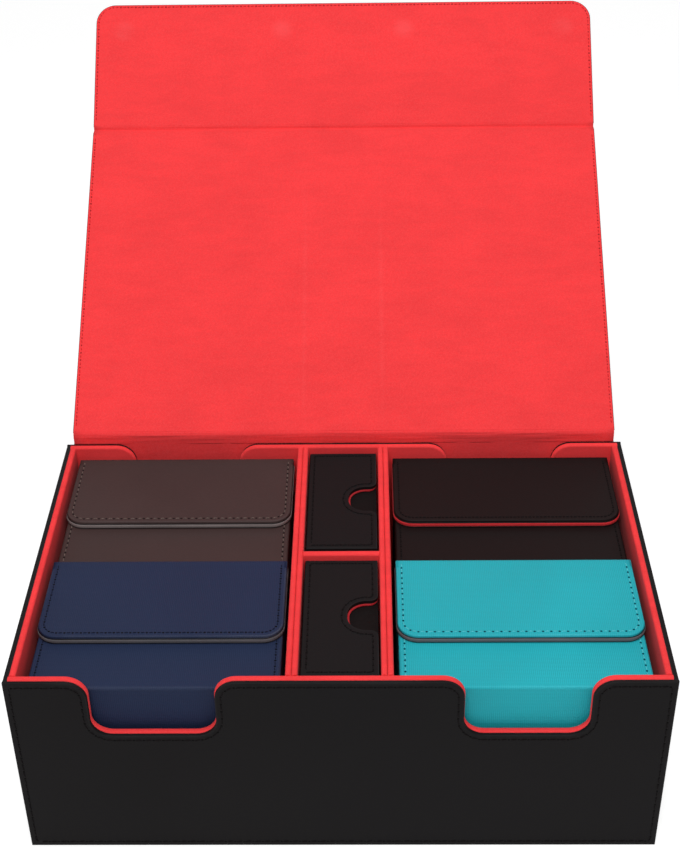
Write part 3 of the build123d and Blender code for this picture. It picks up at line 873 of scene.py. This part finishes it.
def wall_loop(half, top, notch_middles):
    """A closed seam round an upright wall, inset from its edge and from its finger notches."""
    inset = SEAM_INSET
    side = half - inset
    corners, radii = [(-side, inset), (-side, top - inset)], [SEAM_TURN] * 2
    for middle in notch_middles:
        reach = NOTCH_WIDTH / 2 + inset
        low = top - NOTCH_DEPTH - inset
        left, right = middle - reach, middle + reach
        corners += [(left, top - inset), (left, low), (right, low), (right, top - inset)]
        lead, bottom = NOTCH_LEAD - inset, NOTCH_CORNER + inset
        radii += [lead, bottom, bottom, lead]
    corners += [(side, top - inset), (side, inset)]
    radii += [SEAM_TURN] * 2
    return rounded_path(corners, radii, closed=True)


def tray_seams():
    """Stitches on the four outer walls."""
    front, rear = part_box("front_cover"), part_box("rear_spine")
    half, top = front[1][0], front[1][2]
    bay = (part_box("teal_deck_shell")[0][0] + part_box("teal_deck_shell")[1][0]) / 2
    front_face = Face((0, front[0][1], 0), (1, 0, 0), (0, 0, 1))
    rear_face = Face((0, rear[1][1], 0), (-1, 0, 0), (0, 0, 1))
    right_face = Face((half, 0, 0), (0, 1, 0), (0, 0, 1))
    left_face = Face((-half, 0, 0), (0, -1, 0), (0, 0, 1))
    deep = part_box("rear_cover")[1][1]
    narrow = rear[1][0] - SEAM_INSET
    rear_path = rounded_path(
        [(-narrow, top), (-narrow, SEAM_INSET), (narrow, SEAM_INSET), (narrow, top)],
        (0, SEAM_TURN, SEAM_TURN, 0),
    )
    seams = [
        (front_face, wall_loop(half, top, (-bay, bay)), COARSE_PITCH),
        (right_face, wall_loop(deep, top, ()), COARSE_PITCH),
        (left_face, wall_loop(deep, top, ()), COARSE_PITCH),
        (rear_face, rear_path, COARSE_PITCH),
    ]
    stitching("tray_stitches", "tray", "black", seams)


# ---- Deck boxes and small cases ----

def deck_looks(colour):
    """A deck box's stitches, its flap's edge paint and painted shadow, and the skin curved behind the
    flap.
    """
    body = f"{colour}_deck"
    cover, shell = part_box(f"{body}_flap_cover"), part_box(f"{body}_shell")
    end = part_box(f"{body}_top_panel")
    low_x, high_x = cover[0][0], cover[1][0]
    front_y, rear_y = cover[0][1], end[1][1]
    top = Face((0, 0, cover[1][2]), (1, 0, 0), (0, 1, 0))
    inset = SEAM_INSET
    corner = DECK_FLAP_CORNER - inset
    around = rounded_path([
        (low_x + inset, rear_y - inset), (low_x + inset, front_y + inset),
        (high_x - inset, front_y + inset), (high_x - inset, rear_y - inset),
    ], (0, corner, corner, 0))
    seam = [(top, around, FINE_PITCH)]
    stitching(f"{body}_flap_stitches", f"{body}_flap", colour, seam, DECK_SHARE)
    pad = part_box(f"{body}_flap_lining")
    upper_z, painted_shadow_z = pad[0][2] + DECK_FLAP_PAD, pad[0][2] + 0.22 * MM
    # the upper line is edge paint between the flap's cover and its lining; the lower one is a painted
    # shadow where the lining meets the roof
    for part, out, z in (("upper", 0.02 * MM, upper_z), ("lower", 0.3 * MM, painted_shadow_z)):
        bend = DECK_FLAP_CORNER + out
        outline = rounded_path([
            (low_x - out, pad[1][1]), (low_x - out, front_y - out),
            (high_x + out, front_y - out), (high_x + out, pad[1][1]),
        ], (0, bend, bend, 0))
        name = f"{body}_flap_{part}_edge"
        edge_line(name, f"{body}_flap", EDGE_PAINT_AND_SHADOW[colour], outline, z, PAINT_AND_SHADOW_RADIUS)
    left, right = shell[0][0] + inset, shell[1][0] - inset
    near, deep = shell[0][1] + inset, front_y + 6 * MM
    roof = Face((0, 0, shell[1][2]), (1, 0, 0), (0, 1, 0))
    front = Face((0, shell[0][1], 0), (1, 0, 0), (0, 0, 1))
    low, high = shell[0][2] + inset, shell[1][2] - inset
    seams = [(roof, [Vector((x, near)), Vector((x, deep))], FINE_PITCH) for x in (left, right)]
    seams += [(front, [Vector((x, low)), Vector((x, high))], FINE_PITCH) for x in (left, right)]
    stitching(f"{body}_stitches", body, colour, seams, DECK_SHARE)
    hinge = JOINTS[f"{body}_flap_hinge"]["pos_m"]
    radius = DECK_FLAP_NOSE + 0.05 * MM
    path = [
        Vector((rear_y + (0.05 - sunk) * MM, shell[1][2] - drop * MM))
        for drop, sunk in FOLD_DOWN
    ]
    path += [
        Vector((hinge[1] + radius * math.cos(angle), hinge[2] + radius * math.sin(angle)))
        for angle in map(math.radians, range(0, 91, 9))
    ]
    path += [
        Vector((hinge[1] - ahead * MM, hinge[2] + radius - sunk * MM))
        for ahead, sunk in FOLD_AHEAD
    ]
    skin = ribbon(
        f"{body}_hinge_skin", path, lambda t: (0.05 + 0.2 * math.sin(math.pi * t) ** 2) * MM,
        (low_x + 0.1 * MM, high_x - 0.1 * MM), FOLDS[colour],
    )
    start, end = (0, rear_y, shell[1][2] - 0.5 * MM), (0, hinge[1], cover[1][2])
    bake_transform(skin)


def case_looks(name):
    """A small case's stitches, round its top and its thumb notch."""
    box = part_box(f"{name}_cover")
    inset = CASE_SEAM_INSET
    left, right = box[0][0] + inset, box[1][0] - inset
    front, rear = box[0][1] + inset, box[1][1] - inset
    middle = (box[0][1] + box[1][1]) / 2
    half = CASE_NOTCH_HALF + inset
    deep = box[1][0] - CASE_NOTCH_DEPTH - inset
    top = Face((0, 0, box[1][2]), (1, 0, 0), (0, 1, 0))
    lead, end = CASE_NOTCH_LEAD * 0.4, CASE_NOTCH_END + inset
    loop = rounded_path([
        (left, front), (right, front), (right, middle - half), (deep, middle - half),
        (deep, middle + half), (right, middle + half), (right, rear), (left, rear),
    ], (MM, MM, lead, end, end, lead, MM, MM), closed=True)
    face = Face((0, box[0][1], 0), (1, 0, 0), (0, 0, 1))
    low, high = box[0][2] + inset, box[1][2] - inset
    side_corners = [(left, low), (right, low), (right, high), (left, high)]
    side_loop = rounded_path(side_corners, (MM,) * 4, closed=True)
    stitching(f"{name}_stitches", name, "black",
              [(top, loop, FINE_PITCH), (face, side_loop, FINE_PITCH)])


# ---- Stage, lights and camera ----

def seen_directly(tree):
    """1 for the rays that the camera, metal and glass see a background with, 0 for the light."""
    path = add(tree, "LightPath", {})
    seen = sums(tree, "MAXIMUM", path.outputs["Is Camera Ray"], path.outputs["Is Glossy Ray"])
    return sums(tree, "MAXIMUM", seen, path.outputs["Is Transmission Ray"])


def make_stage():
    """A floor that reads as white, keeps the object's shadow and meets the room's white far away."""
    size = FLOOR_HALF
    corners = [(-size, -size, 0), (size, -size, 0), (size, size, 0), (-size, size, 0)]
    material, tree, shader, place = blank("floor")
    tone = cloudy(tree, place, 0.6)
    seen = seen_directly(tree)
    plain_base = mix(tree, tone, (0.80, 0.80, 0.80, 1), (0.84, 0.84, 0.84, 1))
    distance = add(tree, "VectorMath", {0: place}, operation="LENGTH").outputs["Value"]
    far = spread(tree, distance, *FLOOR_FAR)
    seen_base = mix(tree, far, (FLOOR_BASE, FLOOR_BASE, FLOOR_BASE, 1), (0.0, 0.0, 0.0, 1))
    base = mix(tree, seen, plain_base, seen_base)
    tree.links.new(base, shader.inputs["Base Color"])
    glow = sums(tree, "MULTIPLY", seen, spread(tree, far, 0.0, 1.0, FLOOR_GLOW, 1.0))
    tree.links.new(glow, shader.inputs["Emission Strength"])
    shader.inputs["Emission Color"].default_value = (1, 1, 1, 1)
    shader.inputs["Roughness"].default_value = 0.9
    shader.inputs[SPECULAR].default_value = 0.1
    floor = place_mesh("floor", corners, [(0, 1, 2, 3)], material, smooth=False)
    floor.location.z = -FLOOR_DROP


def make_lights():
    """A white room and soft boxes over and in front of the object."""
    world = bpy.data.worlds.new("studio")
    bpy.context.scene.world = world
    world.use_nodes = True
    tree = world.node_tree
    tree.nodes.clear()
    strength = spread(tree, seen_directly(tree), 0.0, 1.0, ROOM_LIGHT, 1.0)
    light = add(tree, "Background", {"Color": (1, 1, 1, 1), "Strength": strength})
    add(tree, "OutputWorld", {"Surface": light.outputs["Background"]})
    for name, spot, size, power in LAMPS:
        lamp = bpy.data.lights.new(name, "AREA")
        lamp.size = size
        lamp.energy = power
        made = bpy.data.objects.new(name, lamp)
        made.location = spot
        aim = Vector(LAMP_AIM) - Vector(spot)
        made.rotation_euler = aim.to_track_quat("-Z", "Y").to_euler()
        bpy.context.scene.collection.objects.link(made)


def make_camera():
    """The photograph's viewpoint."""
    lens = bpy.data.cameras.new("camera")
    lens.lens = CAMERA_LENS
    made = bpy.data.objects.new("camera", lens)
    made.location = CAMERA_AT
    made.rotation_euler = Euler([math.radians(angle) for angle in CAMERA_TURN], "XYZ")
    bpy.context.scene.collection.objects.link(made)
    bpy.context.scene.camera = made


make_camera()
make_stage()
make_lights()
dress_nodes()
make_linings()
make_hinge()
make_crease()
lid_seams()
tray_seams()
for deck in DECKS:
    deck_looks(deck)
for case in CASES:
    case_looks(case)
bpy.context.scene.view_settings.view_transform = "Standard"
